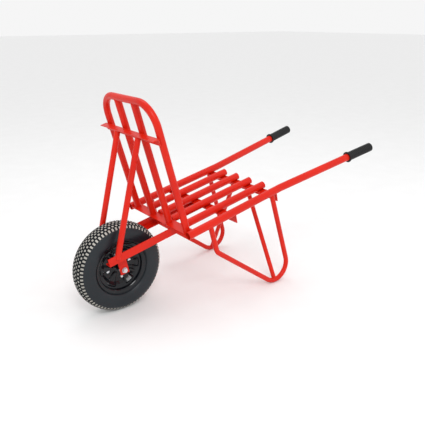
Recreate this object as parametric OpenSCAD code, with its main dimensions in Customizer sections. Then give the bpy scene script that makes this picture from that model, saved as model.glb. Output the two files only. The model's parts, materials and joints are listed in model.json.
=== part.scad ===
// Flat-bed wheelbarrow with a tube frame, an upright backrest and one pneumatic wheel.
// +X points to the handles, +Z up; the wheel is at -X, and left is the -Y side.
// The origin is on the ground, under the middle of the overall box.

/* [Wheel] */
// Outside diameter of the tyre
tyre_d = 400; // [360:1:440]
// Width of the tyre across its sidewalls
tyre_w = 98; // [84:1:100]
// Depth of the tyre section from the crown to the bead
tyre_depth = 84; // [76:1:92]
// Thickness of the tread under the crown
tread_wall = 11; // [8:0.5:13]
// Thickness of the sidewall
side_wall = 5; // [4:0.5:7]
// Distance between the outer faces of the rim flanges
rim_w = 76; // [66:1:80]
// Thickness of the pressed rim sheet
rim_sheet = 2.5; // [2:0.1:3]
// Outside diameter of the hub tube
hub_d = 34; // [30:1:44]
// Length of the hub tube
hub_w = 84; // [70:1:88]
// Wall of the inner tube
tube_wall = 2; // [1.5:0.1:3]
// Bore of the hub tube
hub_bore = 27; // [22:0.5:36]
// Number of bolts that hold the rim halves together
rim_bolts_n = 4; // [4:1:8]
// Diameter of the valve stem
valve_d = 11; // [10:0.5:13]

/* [Axle] */
// Diameter of the axle bolt
axle_d = 12; // [10:1:14]
// Clear width between the two axle brackets
fork_gap = 110; // [106:1:124]
// Thickness of an axle bracket
bracket_t = 5; // [4:0.5:8]
// Width of an axle bracket
bracket_w = 40; // [34:1:50]
// Length of an axle bracket below the axle centre
bracket_foot = 18; // [15:1:26]

/* [Bed] */
// Slope of the bed, rising to the handles (degrees)
bed_slope = 12; // [6:0.5:15]
// Height of the middle plane of the bed straight above the axle
bed_z = 316; // [300:1:345]
// Distance along the slope from above the axle to the front ends of the rails
bed_front = 212; // [205:1:240]
// Distance along the slope from above the axle to the rear ends of the slats
bed_rear = 726; // [690:1:735]
// Distance between the middle lines of the two rails
rail_gauge = 474; // [440:1:570]
// Outside diameter of a rail
rail_d = 35; // [30:0.5:40]
// Wall of the tubes of the frame
wall = 2; // [1.5:0.1:3]
// Outside diameter of a slat
slat_d = 34; // [28:0.5:36]
// Leg of the angle sections of the middle and rear cross-members
cross_leg = 40; // [34:1:46]
// Thickness of the angle sections of the frame
angle_t = 4; // [3:0.5:5]
// Width of the top flange of the front cross-member
front_flange = 46; // [42:1:56]
// Distance along the slope from above the axle to the rear face of the middle cross-member
middle_x = 473; // [440:1:520]

/* [Handles] */
// Distance along the slope from above the axle to the bend of the rails
bend_x = 747; // [740:1:800]
// Outward turn of each handle (degrees)
splay = 5.3; // [2:0.1:9]
// Radius of that bend
bend_r = 220; // [120:5:300]
// Length of a handle from its bend to the end of the tube
handle_l = 580; // [460:1:700]
// Length of a grip
grip_l = 158; // [120:1:190]
// Wall of a grip
grip_wall = 3; // [2:0.5:5]

/* [Backrest] */
// Distance along the slope from above the axle to the foot of the backrest
back_x = 234; // [228:1:240]
// Lean of the backrest toward the wheel (degrees)
back_lean = 15.5; // [8:0.5:20]
// Height of the top tube's middle line above the bed, along the backrest
back_h = 562; // [460:1:680]
// Distance between the middle lines of the two sides of the hoop
hoop_w = 402; // [340:1:410]
// Radius of the hoop's corners on the middle line
hoop_r = 96; // [60:1:110]
// Outside diameter of the backrest tubes
hoop_d = 30; // [25:0.5:34]
// Height of the top of the crossbar above the bed, along the backrest
crossbar_h = 433; // [380:1:450]
// Leg of the crossbar's angle section
crossbar_leg = 30; // [26:1:36]
// Thickness of the crossbar's angle section
crossbar_t = 3; // [3:0.5:4]

/* [Fork] */
// Distance between the outer faces of the two fork arms
arm_gauge = 180; // [174:1:200]
// Leg of the fork arm's angle section
arm_leg = 36; // [32:1:40]
// Length of the fork arms ahead of the axle, along the slope
arm_front = 68; // [50:1:90]
// Distance between the middle lines of the two struts
strut_gauge = 170; // [166:1:184]
// Outside diameter of a strut
strut_d = 25; // [20:0.5:28]
// Distance of a strut's foot ahead of the point above the axle, along the slope
strut_foot = 50; // [30:1:60]
// Length of a strut's slotted foot below the top edge of the arm
strut_lap = 20; // [12:1:26]

/* [Legs] */
// Outside diameter of the leg tube
leg_d = 23; // [20:0.5:28]
// Distance from the axle back to the point where the legs touch the ground
foot_x = 706; // [660:1:720]
// Radius of the bend at the foot, on the middle line
foot_r = 76; // [60:1:80]
// Radius of the knee bend, on the middle line
knee_r = 50; // [35:1:60]
// Distance along the slope from above the axle to the front end of the leg
leg_front = 329; // [315:1:345]
// Forward lean of the front limb (degrees)
front_lean = 14.5; // [8:0.5:20]
// Rise of the lower limb (degrees)
lower_rise = 36.3; // [33:0.1:39]
// Forward lean of the rear limb (degrees)
rear_lean = 16.7; // [14:0.1:17]
// How far each foot stands outboard of its rail
foot_out = 13; // [0:1:20]
// Outside diameter of a leg brace
brace_d = 21; // [18:0.5:24]
// Distance between the upper ends of the two braces
brace_gauge = 94; // [70:1:140]

/* [Fits] */
// Gap left between pieces that are welded or seated
seat_gap = 0.2; // [0.1:0.05:0.3]
// Gap between pieces that turn past each other
turn_gap = 0.3; // [0.2:0.05:0.6]
// Radial clearance of the axle in its bushings
axle_clear = 0.05; // [0.02:0.01:0.1]

/* [Hidden] */

// Colours
red = [0.84, 0.16, 0.09];
black = [0.08, 0.08, 0.09];
rubber = [0.13, 0.13, 0.14];
zinc = [0.75, 0.76, 0.78];
nylon = [0.85, 0.84, 0.78];
brass = [0.78, 0.62, 0.30];

// Roundness of straight tubes and of bends and wheel parts
tube_fn = 40;
turn_fn = 96;

// Overlap of a cutting shape past the face that it cuts
over = 1;
bend_lap = 1.5;
bend_skin = 0.05;

// Bed. In its frame x runs up the slope from above the axle, y to the right, z square to the bed.
axle_z = tyre_d / 2;
rail_y = rail_gauge / 2;
rail_r = rail_d / 2;
slat_r = slat_d / 2;
slat_pitch = rail_gauge / 5;
slat_drop = rail_r - slat_r;
cross_top = -rail_r - seat_gap;
cross_low = cross_top - angle_t - seat_gap;
cross_reach = rail_y + 1;
plate_top = 2;
plate_reach = rail_y - rail_r - seat_gap;
front_end = bed_front + front_flange;
rear_x = bed_rear - 4;
axle_u = (axle_z - bed_z) * sin(bed_slope);
axle_w = (axle_z - bed_z) * cos(bed_slope);

// Handles
grip_end = 5;
grip_fit = 0.1;
grip_r = rail_r + grip_wall;
grip_flange_r = grip_r + 6;
grip_flange_t = 5;
grip_rib = 1.2;
grip_ribs = 14;
grip_cuff = 12;
bend_start = bend_x - bend_r * tan(splay / 2);
handle_start = bend_r * tan(splay / 2);
handle_end = handle_l + grip_end;
tip_dx = cos(splay) * cos(bed_slope);
tip_u = bend_x + handle_end * cos(splay);
reach_x = tip_u * cos(bed_slope) + (grip_r + grip_rib) * sqrt(1 - tip_dx * tip_dx);

// The axle stands where the overall box is centred on the origin
axle_x = (tyre_d / 2 - reach_x) / 2;

// Backrest. In its frame z runs up the backrest and -x toward the wheel.
hoop_side = hoop_w / 2;
hoop_rad = hoop_d / 2;
bar_y = hoop_w / 6;
web_x = -hoop_rad - seat_gap;
web_front = web_x - crossbar_t;
crossbar_reach = hoop_side + hoop_rad;
flange_low = crossbar_h - crossbar_t;

// Fork
arm_y = arm_gauge / 2;
arm_top = 1.5 - rail_r;
arm_low = arm_top - arm_leg;
arm_end = middle_x - 2 * angle_t - seat_gap;
arm_start = axle_u - arm_front;
bracket_y = fork_gap / 2;
bracket_out = bracket_y + bracket_t;
strut_y = strut_gauge / 2;
strut_r = strut_d / 2;

// Legs. In a leg's own plane x runs to the handles from above the axle and y is the height.
leg_r = leg_d / 2;
foot_y = rail_y + foot_out;
foot_mid = [foot_x, leg_r + foot_r];
bed_rise = tan(bed_slope);
leg_tilt = asin(foot_out / (bed_z + foot_x * bed_rise));
rear_way = [-sin(rear_lean), cos(rear_lean)];
rear_tan = foot_mid + foot_r * [cos(rear_lean), sin(rear_lean)];
rear_len = (bed_z + rear_tan[0] * bed_rise - rear_tan[1])
    / (cos(rear_lean) + sin(rear_lean) * bed_rise);
low_way = [-cos(lower_rise), sin(lower_rise)];
low_tan = foot_mid - foot_r * [sin(lower_rise), cos(lower_rise)];
front_way = [-sin(front_lean), cos(front_lean)];
leg_top = [leg_front * cos(bed_slope), bed_z + leg_front * sin(bed_slope)];
to_top = leg_top - low_tan;
limb_det = -cos(lower_rise + front_lean);
low_len = (to_top[0] * cos(front_lean) + to_top[1] * sin(front_lean)) / limb_det;
front_len = -(to_top[0] * sin(lower_rise) + to_top[1] * cos(lower_rise)) / limb_det;
knee = low_tan + low_len * low_way;
knee_turn = 90 - lower_rise - front_lean;
knee_cut = knee_r * tan(knee_turn / 2);
knee_mid = knee + knee_cut * front_way + knee_r * [cos(front_lean), sin(front_lean)];

// Wheel. In its frame z runs along the axle to the right and the origin is its centre.
tyre_r = tyre_d / 2;
tyre_half = tyre_w / 2;
bulge_r = tyre_r - 62;
flange_r = tyre_r - tyre_depth + 2;
seat_r = flange_r - 16;
disc_r = seat_r - 30;
rim_half = rim_w / 2;
rim_side = rim_half - rim_sheet / 2;
disc_z = (rim_sheet + seat_gap) / 2;
disc_out = disc_z + rim_sheet / 2;
lip_r = flange_r + rim_sheet / 2 + seat_gap;
bead_r = seat_r + rim_sheet / 2 + seat_gap;
hub_r = hub_d / 2;
hub_half = hub_w / 2;
bush_l = 24;
bush_flange = 3;
bush_side = hub_half + bush_flange;
spacer_d = axle_d + 8;
axle_fit = 0.25;
washer_t = 2.5;
washer_d = 2 * axle_d;
washer_out = bracket_out + seat_gap + washer_t;
hex_d = 1.73 * axle_d;
head_t = 0.6 * axle_d;

// Rim bolts
rim_bolt_d = 8;
rim_bolt_r = 54;
rim_bolt_fit = 0.2;
rim_hex_d = 15;
rim_head_t = 5.5;
rim_nut_t = 6.5;

// Inner tube and valve
air_top = tyre_r - tread_wall - seat_gap;
air_low = bead_r + 8;
air_mid = (air_top + air_low) / 2;
air_deep = (air_top - air_low) / 2;
air_half = tyre_half - side_wall - 1;
valve_turn = 31;
valve_z = 11;
valve_foot_d = valve_d + 3;
valve_foot_t = 3;
valve_top = air_mid - air_deep * sqrt(1 - pow((valve_z - valve_foot_d / 2) / air_half, 2)) - seat_gap;
valve_neck = disc_r - 2;
valve_low = valve_neck - 14;
thread_d = 7.7;
cap_d = 10;

// A point of the bed's frame, and of the backrest's, in the part's own frame
function bed_pt(u, v, w) = [axle_x + u * cos(bed_slope) - w * sin(bed_slope), v,
    bed_z + u * sin(bed_slope) + w * cos(bed_slope)];
function back_pt(x, y, z) = bed_pt(back_x, 0, 0)
    + [x * cos(back_lean) - z * sin(back_lean), y, x * sin(back_lean) + z * cos(back_lean)];

// Frames that the pieces are drawn in
module bed() {
    translate([axle_x, 0, bed_z]) rotate([0, -bed_slope, 0]) children();
}

module back() {
    translate(bed_pt(back_x, 0, 0)) rotate([0, -back_lean, 0]) children();
}

module on_axle() {
    translate([axle_x, 0, axle_z]) rotate([-90, 0, 0]) children();
}

// Mirrors what is drawn on the right side to the left side when side is -1
module on_side(side) {
    mirror([0, side < 0 ? 1 : 0, 0]) children();
}

// A box from one corner to the other
module block(low, high) {
    translate(low) cube(high - low);
}

// Section of a tube; a wall of 0 makes a solid bar
module ring(d, t) {
    difference() {
        circle(d = d, $fn = tube_fn);
        if (t > 0) circle(d = d - 2 * t, $fn = tube_fn);
    }
}

// Tube in the xy plane from a point, along a direction of unit length
module straight(start, way, len, d, t) {
    translate(start) rotate([0, 0, atan2(way[1], way[0])]) rotate([0, 90, 0])
        linear_extrude(len) ring(d, t);
}

// Tube bent in the xy plane around a centre, counter-clockwise from an angle. Its wall is a hair
// thinner than a straight tube's and runs a little way into the straight tubes it joins.
module bend(mid, r, from, turn, d, t) {
    lap = bend_lap / r * 180 / PI;
    translate(mid) rotate([0, 0, from - lap])
        rotate_extrude(angle = turn + 2 * lap, $fn = turn_fn) translate([r, 0])
            ring(d - 2 * bend_skin, t > 0 ? t - 2 * bend_skin : 0);
}

// Tube from one point toward another, carried on past it
module between(a, b, past, d, t) {
    way = b - a;
    translate(a) rotate([0, acos(way[2] / norm(way)), atan2(way[1], way[0])])
        linear_extrude(norm(way) + past) ring(d, t);
}

// Steel angle along x: one leg up from the corner, the other toward -y, with the inner fillet
module angle_bar(len, leg, t) {
    rotate([90, 0, 90]) linear_extrude(len) {
        translate([-t, 0]) square([t, leg]);
        translate([-leg, 0]) square([leg, t]);
        difference() {
            translate([-2 * t, t]) square(t);
            translate([-2 * t, 2 * t]) circle(t, $fn = tube_fn);
        }
    }
}

// ---- Bed ----

// One rail: straight along the bed, then bent outward to become the handle
module rail_path(d, t) {
    straight([bed_front, rail_y], [1, 0], bend_start - bed_front, d, t);
    bend([bend_start, rail_y + bend_r], bend_r, -90, splay, d, t);
    translate([bend_x, rail_y]) rotate([0, 0, splay])
        straight([handle_start, 0], [1, 0], handle_l - handle_start, d, t);
}

module rail(side) {
    color(red) bed() on_side(side) rail_path(rail_d, wall);
}

// One slat, counted from the left: a tube with a welded cap at its front end
module slat(i) {
    front = front_end + seat_gap;
    color(red) bed() translate([0, (i - 2.5) * slat_pitch, -slat_drop]) {
        straight([front, 0], [1, 0], wall, slat_d, 0);
        straight([front + wall, 0], [1, 0], bed_rear - front - wall, slat_d, wall);
    }
}

// The load flange between the rails, with a web behind it that stands on the fork arms
module front_cross_member() {
    color(red) bed() {
        block([bed_front, -plate_reach, plate_top - angle_t],
            [front_end, plate_reach, plate_top]);
        block([front_end - angle_t, -plate_reach, arm_top + seat_gap],
            [front_end, plate_reach, 0]);
    }
}

// An angle under rails and slats, with its web down at the rear
module cross_member(back) {
    color(red) bed() translate([back, -cross_reach, cross_top]) rotate([180, 0, 90])
        angle_bar(2 * cross_reach, cross_leg, angle_t);
}

// ---- Backrest ----

// The hoop, drawn flat with x across and y up the backrest
module hoop_path(d, t) {
    corner_x = hoop_side - hoop_r;
    corner_y = back_h - hoop_r;
    for (side = [-1, 1]) straight([side * hoop_side, -hoop_d], [0, 1], corner_y + hoop_d, d, t);
    bend([corner_x, corner_y], hoop_r, 0, 90, d, t);
    straight([-corner_x, back_h], [1, 0], 2 * corner_x, d, t);
    bend([-corner_x, corner_y], hoop_r, 90, 90, d, t);
}

// Cuts the feet of the backrest off flush with the front cross-member
module on_plate() {
    difference() {
        back() children();
        bed() block([0, -rail_gauge, -2 * rail_d], [2 * back_x, rail_gauge, plate_top + seat_gap]);
    }
}

module backrest_hoop() {
    color(red) on_plate() rotate([90, 0, 90]) hoop_path(hoop_d, wall);
}

module backrest_bar(side) {
    color(red) on_plate() difference() {
        translate([0, side * bar_y, -hoop_d]) linear_extrude(back_h + hoop_d) ring(hoop_d, wall);
        translate([0, side * bar_y, back_h]) rotate([90, 0, 0])
            cylinder(h = 2 * hoop_d, d = hoop_d + 2 * seat_gap, center = true, $fn = tube_fn);
    }
}

// Steel angle on the front of the backrest, with its flange on top and forward
module backrest_crossbar() {
    color(red) back() translate([web_x, -crossbar_reach, crossbar_h]) rotate([180, 0, 90])
        angle_bar(2 * crossbar_reach, crossbar_leg, crossbar_t);
}

// ---- Fork ----

module fork_arm(side) {
    color(red) bed() on_side(side) difference() {
        translate([arm_start, arm_y, arm_low]) angle_bar(arm_end - arm_start, arm_leg, angle_t);
        block([middle_x - cross_leg - seat_gap, 0, cross_low], [middle_x, rail_gauge, 0]);
    }
}

module axle_bracket(side) {
    color(red) bed() on_side(side) difference() {
        block([axle_u - bracket_w / 2, bracket_y, axle_w - bracket_foot],
            [axle_u + bracket_w / 2, bracket_out, arm_low - seat_gap]);
        translate([axle_u, bracket_out + over, axle_w]) rotate([90, 0, 0])
            cylinder(h = bracket_t + 2 * over, d = axle_d + 2 * axle_fit, $fn = turn_fn);
    }
}

// A strut from the fork arm up into the corner of the crossbar; its foot is slotted over the arm
module strut(side) {
    foot = bed_pt(-strut_foot, strut_y, arm_top - strut_lap);
    head = back_pt(web_front - seat_gap - strut_r, strut_y, flange_low);
    color(red) on_side(side) difference() {
        between(foot, head, strut_d, strut_d, wall);
        back() block([-crossbar_h, 0, flange_low - seat_gap],
            [hoop_d, rail_gauge, 2 * crossbar_h]);
        back() block([web_front - crossbar_t - seat_gap, 0, flange_low - crossbar_leg],
            [hoop_d, rail_gauge, crossbar_h]);
        bed() block([-2 * crossbar_h, arm_y - angle_t - seat_gap, arm_low],
            [crossbar_h, arm_y + seat_gap, arm_top + seat_gap]);
    }
}

// ---- Legs ----

// One bent tube: rear limb, foot, lower limb, knee and front limb
module leg_path(d, t) {
    straight(rear_tan, rear_way, rear_len, d, t);
    bend(foot_mid, foot_r, -90 - lower_rise, 90 + lower_rise + rear_lean, d, t);
    straight(low_tan, low_way, low_len - knee_cut, d, t);
    bend(knee_mid, knee_r, 180 + front_lean, knee_turn, d, t);
    straight(knee + knee_cut * front_way, front_way, front_len - knee_cut, d, t);
}

module leg_tube(d, t) {
    translate([axle_x, foot_y, 0]) rotate([90 + leg_tilt, 0, 0]) leg_path(d, t);
}

module leg(side) {
    color(red) on_side(side) difference() {
        leg_tube(leg_d, wall);
        bed() straight([0, rail_y], [1, 0], bend_x, rail_d + 2 * seat_gap, 0);
        bed() block([rear_x - cross_leg - seat_gap, 0, cross_low],
            [rear_x + seat_gap, cross_reach + seat_gap, 0]);
    }
}

// A brace from inside the bend of the foot up to the underside of the rear cross-member
module leg_brace(side) {
    foot = [axle_x + foot_x, foot_y, leg_r];
    head = bed_pt(rear_x - cross_leg / 2, brace_gauge / 2, cross_low);
    color(red) on_side(side) difference() {
        between(foot, head, brace_d, brace_d, wall);
        leg_tube(leg_d + 2 * seat_gap, 0);
        bed() block([0, 0, cross_low], [bend_x, rail_gauge, rail_d]);
    }
}

// ---- Grips ----

// Outline of half a grip: flange, ribbed body, plain cuff and closed end, cut by the bore
function grip_outline() = let (
        step = (grip_l - grip_flange_t - grip_cuff) / grip_ribs,
        rib_r = grip_r + grip_rib,
        ribs = [for (i = [0 : grip_ribs - 1]) let (x = grip_flange_t + i * step)
            each [[grip_r, x], [grip_r, x + step / 3], [rib_r, x + step / 2], [rib_r, x + step]]]
    ) concat([[rail_r + grip_fit, 0], [grip_flange_r, 0], [grip_flange_r, grip_flange_t]], ribs,
        [[rib_r, grip_l], [0, grip_l], [0, grip_l - grip_end + seat_gap],
            [rail_r + grip_fit, grip_l - grip_end + seat_gap]]);

module grip(side) {
    color(rubber) bed() on_side(side) translate([bend_x, rail_y]) rotate([0, 0, splay])
        translate([handle_end - grip_l, 0]) rotate([0, 90, 0])
            rotate_extrude($fn = turn_fn) polygon(grip_outline());
}

// ---- Axle ----

// Washer, spacer or tube along z
module sleeve(low, high, d, bore) {
    translate([0, 0, low]) difference() {
        cylinder(h = high - low, d = d, $fn = turn_fn);
        translate([0, 0, -over]) cylinder(h = high - low + 2 * over, d = bore, $fn = turn_fn);
    }
}

module axle_bolt() {
    head = washer_out + seat_gap;
    color(zinc) on_axle() {
        translate([0, 0, -head - head_t]) cylinder(h = head_t, d = hex_d, $fn = 6);
        translate([0, 0, -head]) cylinder(h = 2 * head + axle_d + 4, d = axle_d, $fn = turn_fn);
    }
}

module axle_nut() {
    low = washer_out + seat_gap;
    color(zinc) on_axle() difference() {
        translate([0, 0, low]) cylinder(h = axle_d, d = hex_d, $fn = 6);
        translate([0, 0, low - over])
            cylinder(h = axle_d + 2 * over, d = axle_d + 2 * axle_clear, $fn = turn_fn);
    }
}

module axle_washers() {
    low = bracket_out + seat_gap;
    color(zinc) on_axle() for (side = [0, 1]) mirror([0, 0, side])
        sleeve(low, low + washer_t, washer_d, axle_d + 2 * axle_fit);
}

module axle_spacer(side) {
    color(zinc) on_axle() mirror([0, 0, side < 0 ? 1 : 0])
        sleeve(bush_side + turn_gap, bracket_y - seat_gap, spacer_d, axle_d + 2 * axle_fit);
}

// ---- Wheel ----

// Turns a line of points into a sheet of even thickness, mitred at its corners
function unit(v) = v / norm(v);
function side_of(v) = [-v[1], v[0]];
function mitre(p, i) = let (
        last = len(p) - 1,
        before = side_of(unit(p[max(i, 1)] - p[max(i, 1) - 1])),
        after = side_of(unit(p[min(i, last - 1) + 1] - p[min(i, last - 1)]))
    ) (before + after) / (1 + before * after);
function sheet(p, t) = concat(
    [for (i = [0 : len(p) - 1]) p[i] + mitre(p, i) * t / 2],
    [for (i = [len(p) - 1 : -1 : 0]) p[i] - mitre(p, i) * t / 2]);

// Middle line of one rim half, from the hub out to the flange
rim_line = [[hub_r + seat_gap, disc_z], [disc_r, disc_z], [disc_r + 12, 13], [seat_r - 2, 19],
    [seat_r, rim_side - 5], [flange_r, rim_side]];

module valve_way() {
    rotate([0, 0, valve_turn]) translate([0, 0, -valve_z]) rotate([0, 90, 0]) children();
}

module each_rim_bolt() {
    for (i = [0 : rim_bolts_n - 1])
        rotate([0, 0, valve_turn + (i + 0.5) * 360 / rim_bolts_n]) translate([rim_bolt_r, 0]) children();
}

module rim_half(side) {
    color(black) on_axle() difference() {
        mirror([0, 0, side < 0 ? 1 : 0])
            rotate_extrude($fn = turn_fn) polygon(sheet(rim_line, rim_sheet));
        each_rim_bolt() cylinder(h = 4 * rim_sheet + 2 * over, d = rim_bolt_d + 2 * rim_bolt_fit,
            center = true, $fn = tube_fn);
        valve_way() cylinder(h = seat_r, d = valve_d + 2 * seat_gap, $fn = tube_fn);
    }
}

module rim_bolts() {
    head = disc_out + seat_gap;
    color(zinc) on_axle() each_rim_bolt() {
        translate([0, 0, -head - rim_head_t]) cylinder(h = rim_head_t, d = rim_hex_d, $fn = 6);
        translate([0, 0, -head])
            cylinder(h = 2 * head + rim_nut_t + 2, d = rim_bolt_d, $fn = tube_fn);
    }
}

module rim_nuts() {
    color(zinc) on_axle() each_rim_bolt() translate([0, 0, disc_out + seat_gap]) difference() {
        cylinder(h = rim_nut_t, d = rim_hex_d, $fn = 6);
        translate([0, 0, -over])
            cylinder(h = rim_nut_t + 2 * over, d = rim_bolt_d + 0.1, $fn = tube_fn);
    }
}

module hub_tube() {
    color(black) on_axle() sleeve(-hub_half, hub_half, hub_d, hub_bore);
}

module hub_bushing(side) {
    bore = axle_d + 2 * axle_clear;
    color(nylon) on_axle() mirror([0, 0, side < 0 ? 1 : 0]) {
        sleeve(hub_half - bush_l, hub_half + seat_gap, hub_bore - seat_gap, bore);
        sleeve(hub_half + seat_gap, bush_side, hub_d, bore);
    }
}

// Tyre section: a crown curve between the two widest points, then on each side a curve in to
// the rim. The inner skin follows the same curves.
function crown(top, half, blunt, steps) = [for (i = [-steps : steps]) let (a = 90 * i / steps)
    [top - (top - bulge_r) * (1 - pow(cos(a), blunt)), half * sign(a) * pow(abs(sin(a)), 0.76)]];
function flank(low_r, low_z, half, steps) = [for (i = [1 : steps]) let (a = 90 * i / steps)
    [bulge_r - (bulge_r - low_r) * sin(a), low_z + (half - low_z) * cos(a)]];
function upright(p) = [for (i = [len(p) - 1 : -1 : 0]) [p[i][0], -p[i][1]]];
function skin(top, half, blunt, side) = concat(upright(side), crown(top, half, blunt, 12), side);

outer_skin = skin(tyre_r, tyre_half, 0.55, concat(
    flank(lip_r + 1, rim_side - 0.5, tyre_half, 7),
    [[lip_r - 2, rim_side - 2.2], [bead_r + 1, rim_side - 6.6], [bead_r, rim_side - 8]]));
inner_skin = skin(tyre_r - tread_wall, tyre_half - side_wall, 0.6, concat(
    flank(bead_r + 14, rim_side - 13, tyre_half - side_wall, 5),
    [[bead_r + 2, rim_side - 17], [bead_r, rim_side - 16]]));

module tyre() {
    color(rubber) on_axle() rotate_extrude($fn = turn_fn)
        polygon(concat(outer_skin, [for (i = [len(inner_skin) - 1 : -1 : 0]) inner_skin[i]]));
}

function oval(deep, half, steps) = [for (i = [0 : steps - 1]) let (a = 360 * i / steps)
    [air_mid + deep * cos(a), half * sin(a)]];

module inner_tube() {
    color(rubber) on_axle() rotate_extrude($fn = turn_fn) difference() {
        polygon(oval(air_deep, air_half, 36));
        polygon(oval(air_deep - tube_wall, air_half - tube_wall, 36));
    }
}

module valve_stem() {
    color(brass) on_axle() valve_way() {
        translate([0, 0, valve_low]) cylinder(h = valve_top - valve_low, d = thread_d, $fn = tube_fn);
        translate([0, 0, valve_neck]) cylinder(h = valve_top - valve_neck, d = valve_d, $fn = tube_fn);
        translate([0, 0, valve_top - valve_foot_t])
            cylinder(h = valve_foot_t, d = valve_foot_d, $fn = tube_fn);
    }
}

module valve_cap() {
    color(black) on_axle() valve_way() difference() {
        translate([0, 0, valve_low - 3])
            cylinder(h = valve_neck - seat_gap - valve_low + 3, d = cap_d, $fn = tube_fn);
        translate([0, 0, valve_low - seat_gap])
            cylinder(h = valve_neck - valve_low, d = thread_d + seat_gap, $fn = tube_fn);
    }
}

rail(-1);  // left_rail
rail(1);  // right_rail
slat(1);  // slat_1
slat(2);  // slat_2
slat(3);  // slat_3
slat(4);  // slat_4
front_cross_member();
cross_member(middle_x);  // middle_cross_member
cross_member(rear_x);  // rear_cross_member
backrest_hoop();
backrest_bar(-1);  // left_backrest_bar
backrest_bar(1);  // right_backrest_bar
backrest_crossbar();
strut(-1);  // left_strut
strut(1);  // right_strut
fork_arm(-1);  // left_fork_arm
fork_arm(1);  // right_fork_arm
axle_bracket(-1);  // left_axle_bracket
axle_bracket(1);  // right_axle_bracket
leg(-1);  // left_leg
leg(1);  // right_leg
leg_brace(-1);  // left_leg_brace
leg_brace(1);  // right_leg_brace
grip(-1);  // left_grip
grip(1);  // right_grip
axle_bolt();
axle_nut();
axle_washers();
axle_spacer(-1);  // left_axle_spacer
axle_spacer(1);  // right_axle_spacer
tyre();
inner_tube();
rim_half(-1);  // left_rim_half
rim_half(1);  // right_rim_half
rim_bolts();
rim_nuts();
hub_tube();
hub_bushing(-1);  // left_hub_bushing
hub_bushing(1);  // right_hub_bushing
valve_stem();
valve_cap();
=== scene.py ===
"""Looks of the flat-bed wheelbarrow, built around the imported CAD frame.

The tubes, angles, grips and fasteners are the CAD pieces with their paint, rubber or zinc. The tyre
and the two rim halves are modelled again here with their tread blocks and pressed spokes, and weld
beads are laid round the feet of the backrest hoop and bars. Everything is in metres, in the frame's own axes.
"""

import json
from math import cos, pi, radians, sin, tau

import bmesh
import bpy
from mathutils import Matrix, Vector


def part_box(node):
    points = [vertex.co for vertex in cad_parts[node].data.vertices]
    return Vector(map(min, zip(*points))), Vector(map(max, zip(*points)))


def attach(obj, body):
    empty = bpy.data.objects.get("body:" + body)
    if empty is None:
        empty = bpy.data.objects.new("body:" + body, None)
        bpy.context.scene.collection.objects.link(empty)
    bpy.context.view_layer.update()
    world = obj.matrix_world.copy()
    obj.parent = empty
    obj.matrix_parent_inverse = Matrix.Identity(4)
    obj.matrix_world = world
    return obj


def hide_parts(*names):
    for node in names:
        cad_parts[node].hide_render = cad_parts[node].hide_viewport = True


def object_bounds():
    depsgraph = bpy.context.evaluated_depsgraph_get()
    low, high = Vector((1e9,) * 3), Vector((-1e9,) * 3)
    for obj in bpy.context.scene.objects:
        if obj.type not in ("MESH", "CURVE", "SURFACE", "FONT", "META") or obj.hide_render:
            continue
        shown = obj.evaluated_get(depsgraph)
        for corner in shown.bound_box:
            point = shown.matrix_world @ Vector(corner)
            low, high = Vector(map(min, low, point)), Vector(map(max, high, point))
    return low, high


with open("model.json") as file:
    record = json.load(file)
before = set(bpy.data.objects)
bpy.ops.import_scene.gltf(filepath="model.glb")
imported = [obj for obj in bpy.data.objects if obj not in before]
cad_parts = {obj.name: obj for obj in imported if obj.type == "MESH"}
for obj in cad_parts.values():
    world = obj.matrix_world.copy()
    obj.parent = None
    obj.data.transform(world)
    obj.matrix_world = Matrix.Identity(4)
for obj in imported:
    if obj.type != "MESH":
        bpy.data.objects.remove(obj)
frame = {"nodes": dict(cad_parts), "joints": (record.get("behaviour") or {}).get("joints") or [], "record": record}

MM = 0.001
cad_low, cad_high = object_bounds()


# ---- Materials ----


def new_material(name):
    """A material with its Principled shader, and a short way to add nodes to it."""
    material = bpy.data.materials.new(name)
    material.use_nodes = True
    nodes, links = material.node_tree.nodes, material.node_tree.links
    shader = nodes["Principled BSDF"]
    return material, nodes, links, shader


def noise(nodes, links, scale, detail=3.0):
    coordinates = nodes.new("ShaderNodeTexCoord")
    texture = nodes.new("ShaderNodeTexNoise")
    texture.inputs["Scale"].default_value = scale
    texture.inputs["Detail"].default_value = detail
    links.new(coordinates.outputs["Object"], texture.inputs["Vector"])
    return texture.outputs["Fac"]


def ramp(nodes, links, factor, low, high):
    """Maps a 0..1 factor to a colour between low and high."""
    mix = nodes.new("ShaderNodeValToRGB")
    mix.color_ramp.elements[0].position = 0.3
    mix.color_ramp.elements[1].position = 0.7
    mix.color_ramp.elements[0].color = (*low, 1)
    mix.color_ramp.elements[1].color = (*high, 1)
    links.new(factor, mix.inputs["Fac"])
    return mix.outputs["Color"]


def bump(nodes, links, shader, height, strength, distance):
    node = nodes.new("ShaderNodeBump")
    node.inputs["Strength"].default_value = strength
    node.inputs["Distance"].default_value = distance
    links.new(height, node.inputs["Height"])
    links.new(node.outputs["Normal"], shader.inputs["Normal"])


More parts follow.
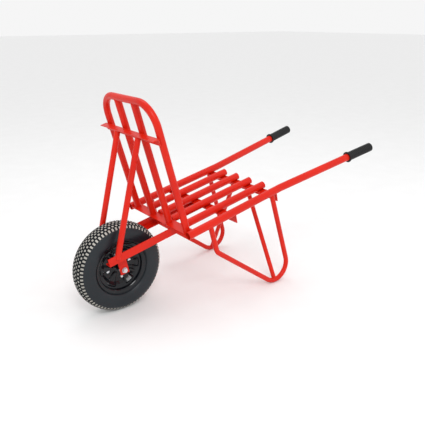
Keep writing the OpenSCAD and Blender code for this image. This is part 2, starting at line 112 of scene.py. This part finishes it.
def surface(name, low, high, roughness, metallic=0.0, coat=0.0, grain=60.0,
            bumps=0.05, bump_depth=0.0004, wear=0.06, specular=0.5):
    """Colour between low and high, roughness that varies by wear, and a fine relief."""
    material, nodes, links, shader = new_material(name)
    links.new(ramp(nodes, links, noise(nodes, links, 6.0), low, high), shader.inputs["Base Color"])
    rough = nodes.new("ShaderNodeMapRange")
    rough.inputs["To Min"].default_value = max(roughness - wear, 0.02)
    rough.inputs["To Max"].default_value = roughness + wear
    links.new(noise(nodes, links, 14.0), rough.inputs["Value"])
    links.new(rough.outputs["Result"], shader.inputs["Roughness"])
    shader.inputs["Metallic"].default_value = metallic
    shader.inputs["Coat Weight"].default_value = coat
    shader.inputs["Coat Roughness"].default_value = 0.12
    shader.inputs["Specular IOR Level"].default_value = specular
    bump(nodes, links, shader, noise(nodes, links, grain), bumps, bump_depth)
    return material


frame_paint = surface("frame_paint", (0.60, 0.010, 0.002), (0.70, 0.015, 0.003),
                      roughness=0.36, coat=0.06, grain=90.0, specular=0.22)
rim_paint = surface("rim_paint", (0.003, 0.004, 0.006), (0.006, 0.007, 0.010),
                    roughness=0.16, coat=0.12, grain=40.0, wear=0.04, specular=0.3)
# Tyre and groove rubber: dark rubber colour, with a bluish tint that is painted sheen.
tyre_rubber_sheen_tinted = surface("tyre_rubber_sheen_tinted", (0.009, 0.013, 0.017), (0.014, 0.019, 0.024),
                      roughness=0.34, grain=300.0, bumps=0.12, specular=0.34)
tread_rubber_sheen_tinted = surface("tread_rubber_sheen_tinted", (0.009, 0.012, 0.015), (0.014, 0.018, 0.022),
                       roughness=0.48, grain=300.0, bumps=0.12, specular=0.15)
# Pale grey on the tread block tops is painted glint, not the rubber's own colour.
block_top_glint = surface("block_top_glint", (0.30, 0.29, 0.26), (0.44, 0.42, 0.38),
                       roughness=0.45, grain=300.0, bumps=0.1)
grip_rubber = surface("grip_rubber", (0.006, 0.006, 0.007), (0.011, 0.011, 0.012),
                      roughness=0.45, grain=400.0, bumps=0.25, specular=0.25)
zinc = surface("zinc", (0.62, 0.64, 0.67), (0.74, 0.76, 0.79),
               roughness=0.30, metallic=1.0, grain=200.0)
tube_rubber = surface("tube_rubber", (0.012, 0.012, 0.013), (0.02, 0.02, 0.021), roughness=0.6)
nylon = surface("nylon", (0.74, 0.72, 0.66), (0.82, 0.80, 0.75), roughness=0.5)
cap_plastic = surface("cap_plastic", (0.015, 0.015, 0.015), (0.025, 0.025, 0.025), roughness=0.45)
floor_paint = surface("floor", (0.90, 0.90, 0.90), (0.92, 0.92, 0.92), roughness=0.9, bumps=0.0)

MATERIALS = {"frame_paint": frame_paint, "rim_paint": rim_paint, "tyre": tyre_rubber_sheen_tinted,
             "grip_rubber": grip_rubber, "zinc": zinc, "tube_rubber": tube_rubber,
             "nylon": nylon, "cap_plastic": cap_plastic}


def shade(mesh, angle=35):
    """Smooth faces, with sharp edges kept where faces meet at more than the angle."""
    mesh.polygons.foreach_set("use_smooth", [True] * len(mesh.polygons))
    mesh.set_sharp_from_angle(angle=radians(angle))


slot_of = {part["node"]: part["material_slot"] for part in frame["record"]["subparts"]}
for name, node in frame["nodes"].items():
    node.data.materials.clear()
    node.data.materials.append(MATERIALS[slot_of[name]])
    shade(node.data)


# ---- Places taken from the frame ----

JOINT = frame["joints"][0]
AXLE = Vector(JOINT["pos_m"])
TYRE_R = AXLE.z
tyre_low, tyre_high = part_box("tyre")
TYRE_HALF = (tyre_high.y - tyre_low.y) / 2
rim_low, rim_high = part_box("right_rim_half")
RIM_SIDE = rim_high.y
RIM_R = (rim_high.z - rim_low.z) / 2
hub_low, hub_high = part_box("hub_tube")
HUB_R = (hub_high.z - hub_low.z) / 2
BULGE_R = TYRE_R - 62 * MM  # where the tyre is widest
SEAT_R = RIM_R - 16 * MM  # where the tyre's bead sits


def add_piece(name, mesh, material, body, slot, *stands_for):
    """A mesh drawn in the row frame that rides on a body."""
    piece = bpy.data.objects.new(name, mesh)
    bpy.context.scene.collection.objects.link(piece)
    mesh.materials.append(material)
    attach(piece, body)
    if stands_for:
        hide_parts(*stands_for)
    return piece


def wheel_point(r, turn, side):
    """A point at radius r, turned round the axle from the top to the handles, side along Y."""
    return Vector((AXLE.x + r * sin(turn), side, AXLE.z + r * cos(turn)))


def grid_mesh(name, rows):
    """Joins rows of points into a quad mesh that closes on itself both ways, like a torus."""
    count, across = len(rows), len(rows[0])
    verts = [p for row in rows for p in row]
    faces = []
    for i in range(count):
        for j in range(across):
            a, b = i * across + j, i * across + (j + 1) % across
            following = (i + 1) % count * across
            faces.append((a, b, following + (j + 1) % across, following + j))
    mesh = bpy.data.meshes.new(name)
    mesh.from_pydata([tuple(v) for v in verts], [], faces)
    fixed = bmesh.new()
    fixed.from_mesh(mesh)
    bmesh.ops.recalc_face_normals(fixed, faces=fixed.faces)
    fixed.to_mesh(mesh)
    fixed.free()
    shade(mesh)
    return mesh


# ---- Tyre ----

GROOVE = 4.5 * MM
TREAD_ROWS = 72
TREAD_HALF = 40 * MM
LANES = 3
TREAD_STEP = 1.6 * MM
SHOULDER_R = 178 * MM
SHOULDER_FADE = 8 * MM
TYRE_STEPS = TREAD_ROWS * 12
CROWN_BLUNT = 0.55
SIDE_BLUNT = 0.76
SECTION_MIDDLE_R = 140 * MM
RING_RADII = (128 * MM, 134 * MM, 158 * MM)
RING_LIFT = 0.5 * MM
RING_WIDTH = 1.1 * MM
RING_STEPS = 240


def tyre_section():
    """Half of the tyre's outline from the crown to the bead, as (radius, side)."""
    outline = []
    for i in range(41):
        a = i / 40 * pi / 2
        blunt = max(cos(a), 0.0) ** CROWN_BLUNT if i < 40 else 0.0
        side = TYRE_HALF * sin(a) ** SIDE_BLUNT
        outline.append((TYRE_R - (TYRE_R - BULGE_R) * (1 - blunt), side))
    low_r, low_side = RIM_R + 1.5 * MM, RIM_SIDE - 1.7 * MM
    for i in range(1, 13):
        a = i / 12 * pi / 2
        outline.append((BULGE_R - (BULGE_R - low_r) * sin(a),
                        low_side + (TYRE_HALF - low_side) * cos(a)))
    return outline + [(RIM_R - 2 * MM, RIM_SIDE - 4 * MM), (SEAT_R + 3 * MM, RIM_SIDE - 12 * MM),
                      (SEAT_R + 3 * MM, RIM_SIDE - 16 * MM)]


def tread_depth(r, side, turn):
    """How far the surface is cut in at a place: zigzag grooves round the tyre between the lanes
    of blocks, and cross cuts between the blocks, which fade out on the shoulder."""
    across = abs(side) / TREAD_HALF
    if r < SHOULDER_R:
        return 0.0
    place = across * LANES
    lane = int(place + 0.5)
    phase = turn * TREAD_ROWS / tau + 0.5 * lane
    along = abs((phase % 1.0) - 0.5) * 2
    zigzag = 0.12 * (abs(((turn * TREAD_ROWS / tau) % 1.0) - 0.5) * 4 - 1)
    edge = (place + 0.5 + zigzag) % 1.0
    edge = min(edge, 1 - edge)
    cut = 1.0 if along > 0.62 else 0.0
    ring = 1.0 if edge < 0.15 and place < LANES - 0.4 else 0.0
    fade = min(1.0, (r - SHOULDER_R) / SHOULDER_FADE)
    return GROOVE * max(cut, ring) * fade


def make_tyre():
    half = tyre_section()
    fine = []
    for (r0, s0), (r1, s1) in zip(half, half[1:]):
        length = ((r1 - r0) ** 2 + (s1 - s0) ** 2) ** 0.5
        parts = max(1, int(length / TREAD_STEP)) if r0 > SHOULDER_R else 1
        fine += [(r0 + (r1 - r0) * k / parts, s0 + (s1 - s0) * k / parts) for k in range(parts)]
    fine.append(half[-1])
    outline = [(r, -s) for r, s in reversed(fine)] + fine[1:]
    rows = []
    for i in range(TYRE_STEPS):
        turn = i * tau / TYRE_STEPS
        row = []
        for r, s in outline:
            depth = tread_depth(r, s, turn)
            outward = Vector((max(r - SECTION_MIDDLE_R, 10 * MM), s)).normalized()
            row.append(wheel_point(r - depth * outward.x, turn, s - depth * outward.y))
        rows.append(row)
    mesh = grid_mesh("tyre_with_tread", rows)
    piece = add_piece("tyre_with_tread", mesh, tyre_rubber_sheen_tinted, "wheel", "tyre", "tyre")
    mesh.materials.append(tread_rubber_sheen_tinted)
    mesh.materials.append(block_top_glint)
    across = len(outline)
    # Uncut faces on the tread (the block tops) get the pale painted-glint colour, and cut faces get the groove
    # rubber.
    for face in mesh.polygons:
        r, s = outline[face.vertices[0] % across]
        if r < SHOULDER_R + 3 * MM:
            continue
        cuts = [tread_depth(*outline[v % across], (v // across) * tau / TYRE_STEPS)
                for v in face.vertices]
        face.material_index = 2 if max(cuts) == 0 else 1
    for side in (-1, 1):
        for ring_r in RING_RADII:
            sidewall_ring(side, ring_r, half)


def sidewall_ring(side, ring_r, half):
    """A thin moulded ring on the sidewall."""
    below = [p for p in half if p[0] <= BULGE_R] if ring_r < BULGE_R else half
    near = min(below, key=lambda p: abs(p[0] - ring_r))
    rows = []
    for i in range(RING_STEPS):
        turn = i * tau / RING_STEPS
        row = []
        for k in range(8):
            a = k * tau / 8
            s = min(near[1] - 0.4 * MM + RING_LIFT * sin(a), TYRE_HALF)
            row.append(wheel_point(near[0] + RING_WIDTH * cos(a), turn, side * s))
        rows.append(row)
    add_piece("sidewall_ring", grid_mesh("sidewall_ring", rows), tyre_rubber_sheen_tinted, "wheel", "tyre")


# ---- Rim ----

SPOKES = 6
SPOKE_LIFT = 9 * MM
SPOKE_MIDDLE_R = 60 * MM
SPOKE_REACH = 34 * MM
SHEET = 2.5 * MM
HUB_GAP = 0.2 * MM
DISC_SIDE = 1.4 * MM
RIM_STEPS = 360


def rim_section():
    """Middle line of the pressed rim from the hub to the flange, as (radius, side)."""
    return [(HUB_R + HUB_GAP, DISC_SIDE), (30 * MM, DISC_SIDE), (44 * MM, DISC_SIDE),
            (62 * MM, DISC_SIDE), (72 * MM, DISC_SIDE), (78 * MM, 7 * MM), (84 * MM, 13 * MM),
            (92 * MM, 16 * MM),
            (SEAT_R - 3 * MM, 18.5 * MM), (SEAT_R - 1 * MM, 22 * MM), (SEAT_R, RIM_SIDE - 8 * MM),
            (SEAT_R + 3 * MM, RIM_SIDE - 5 * MM), (RIM_R - 4 * MM, RIM_SIDE - 2.6 * MM),
            (RIM_R - 1.4 * MM, RIM_SIDE - 1.4 * MM)]


def spoke_lift(r, turn):
    """Pressed spokes stand out of the disc between the hub and the well."""
    phase = ((turn * SPOKES / tau) % 1.0) - 0.5
    ridge = max(0.0, 1 - (abs(phase) / 0.26) ** 4)
    span = max(0.0, 1 - ((r - SPOKE_MIDDLE_R) / SPOKE_REACH) ** 2)
    return SPOKE_LIFT * ridge * min(span * 2.2, 1.0)


def make_rim(side, name):
    section = rim_section()
    fine = []
    for (r0, s0), (r1, s1) in zip(section, section[1:]):
        fine += [(r0 + (r1 - r0) * k / 4, s0 + (s1 - s0) * k / 4) for k in range(4)]
    fine.append(section[-1])
    rows = []
    for i in range(RIM_STEPS):
        turn = i * tau / RIM_STEPS
        front, back = [], []
        for r, s in fine:
            lift = spoke_lift(r, turn)
            front.append(wheel_point(r, turn, side * (s + lift + SHEET / 2)))
            back.append(wheel_point(r, turn, side * max(s + lift - SHEET / 2, 0.1 * MM)))
        rows.append(front + back[::-1])
    mesh = grid_mesh(name, rows)
    add_piece(name, mesh, rim_paint, "wheel", "rim_paint",
              "right_rim_half" if side > 0 else "left_rim_half")


make_tyre()
make_rim(-1, "left_pressed_rim")
make_rim(1, "right_pressed_rim")


# ---- Weld beads ----

BEAD_R = 1.7 * MM


def weld(name, centre, normal, radius):
    """A rippled bead laid round a tube of that radius, on a surface with that normal."""
    normal = Vector(normal).normalized()
    first = normal.orthogonal().normalized()
    second = normal.cross(first)
    steps = int(radius * tau / (0.9 * MM))
    rows = []
    for i in range(steps):
        a = tau * i / steps
        out = first * cos(a) + second * sin(a)
        swell = BEAD_R * (1 + 0.22 * sin(i * 1.9) + 0.08 * sin(i * 0.7))
        rows.append([Vector(centre) + out * (radius + 0.3 * MM + swell * cos(k * tau / 8) * 0.8)
                     + normal * (swell * sin(k * tau / 8)) for k in range(8)])
    add_piece(name, grid_mesh(name, rows), frame_paint, "frame", "frame_paint")


BED_SLOPE = radians(12)
BED_UP = Vector((-sin(BED_SLOPE), 0, cos(BED_SLOPE)))
BACK_TUBE_R = 15 * MM


def bead_round_foot(name, node, keep=lambda p: True):
    """Lays a bead round the lowest ring of a backrest tube. keep picks one foot of the hoop."""
    mesh = frame["nodes"][node].data
    points = [v.co.copy() for v in mesh.vertices if keep(v.co)]
    base = min(p.dot(BED_UP) for p in points)
    ring = [p for p in points if p.dot(BED_UP) < base + 0.3 * MM]
    centre = sum(ring, Vector()) / len(ring)
    weld(name, centre, BED_UP, BACK_TUBE_R)


bead_round_foot("weld_bar_left", "left_backrest_bar")
bead_round_foot("weld_bar_right", "right_backrest_bar")
bead_round_foot("weld_hoop_left", "backrest_hoop", keep=lambda p: p.y < 0)
bead_round_foot("weld_hoop_right", "backrest_hoop", keep=lambda p: p.y > 0)


# ---- Studio ----


def area_light(name, place, aim, size, power):
    data = bpy.data.lights.new(name, "AREA")
    data.shape, data.size, data.energy = "SQUARE", size, power
    lamp = bpy.data.objects.new(name, data)
    lamp.location = place
    lamp.rotation_euler = (Vector(aim) - Vector(place)).to_track_quat("-Z", "Y").to_euler()
    bpy.context.scene.collection.objects.link(lamp)


floor_mesh = bpy.data.meshes.new("floor")
FLOOR_REACH = 40.0
corners = [(x * FLOOR_REACH, y * FLOOR_REACH, 0) for x, y in ((-1, -1), (1, -1), (1, 1), (-1, 1))]
floor_mesh.from_pydata(corners, [], [(0, 1, 2, 3)])
floor_mesh.materials.append(floor_paint)
floor = bpy.data.objects.new("floor", floor_mesh)
bpy.context.scene.collection.objects.link(floor)

middle = (cad_low + cad_high) / 2
area_light("key", (-1.6, -2.6, 3.2), middle, 1.2, 42)
area_light("fill", (2.6, -2.2, 2.0), middle, 1.8, 8)
area_light("top", (0.0, 1.0, 3.4), middle, 1.8, 14)

world = bpy.data.worlds.new("studio")
world.use_nodes = True
world.node_tree.nodes["Background"].inputs["Color"].default_value = (1.0, 1.0, 1.0, 1)
world.node_tree.nodes["Background"].inputs["Strength"].default_value = 0.92
bpy.context.scene.world = world
bpy.context.scene.view_settings.view_transform = "Standard"


# ---- Camera, at the photograph's viewing angle ----

CAMERA_TURN = radians(-37.69)
CAMERA_RISE = radians(19.753)
CAMERA_AWAY = 2.57945
CAMERA_AIM = Vector((AXLE.x + 0.51901, 0, 0.33266))
CAMERA_LENS = 45.452
SENSOR_WIDTH = 36
CAMERA_SHIFT = -0.0021

back = Vector((sin(CAMERA_TURN) * cos(CAMERA_RISE), -cos(CAMERA_TURN) * cos(CAMERA_RISE),
               sin(CAMERA_RISE)))
camera_data = bpy.data.cameras.new("camera")
camera_data.sensor_width = SENSOR_WIDTH
camera_data.lens = CAMERA_LENS
camera_data.shift_y = CAMERA_SHIFT
camera = bpy.data.objects.new("camera", camera_data)
camera.location = CAMERA_AIM + back * CAMERA_AWAY
camera.rotation_mode = "QUATERNION"
camera.rotation_quaternion = (-back).to_track_quat("-Z", "Y")
bpy.context.scene.collection.objects.link(camera)
bpy.context.scene.camera = camera
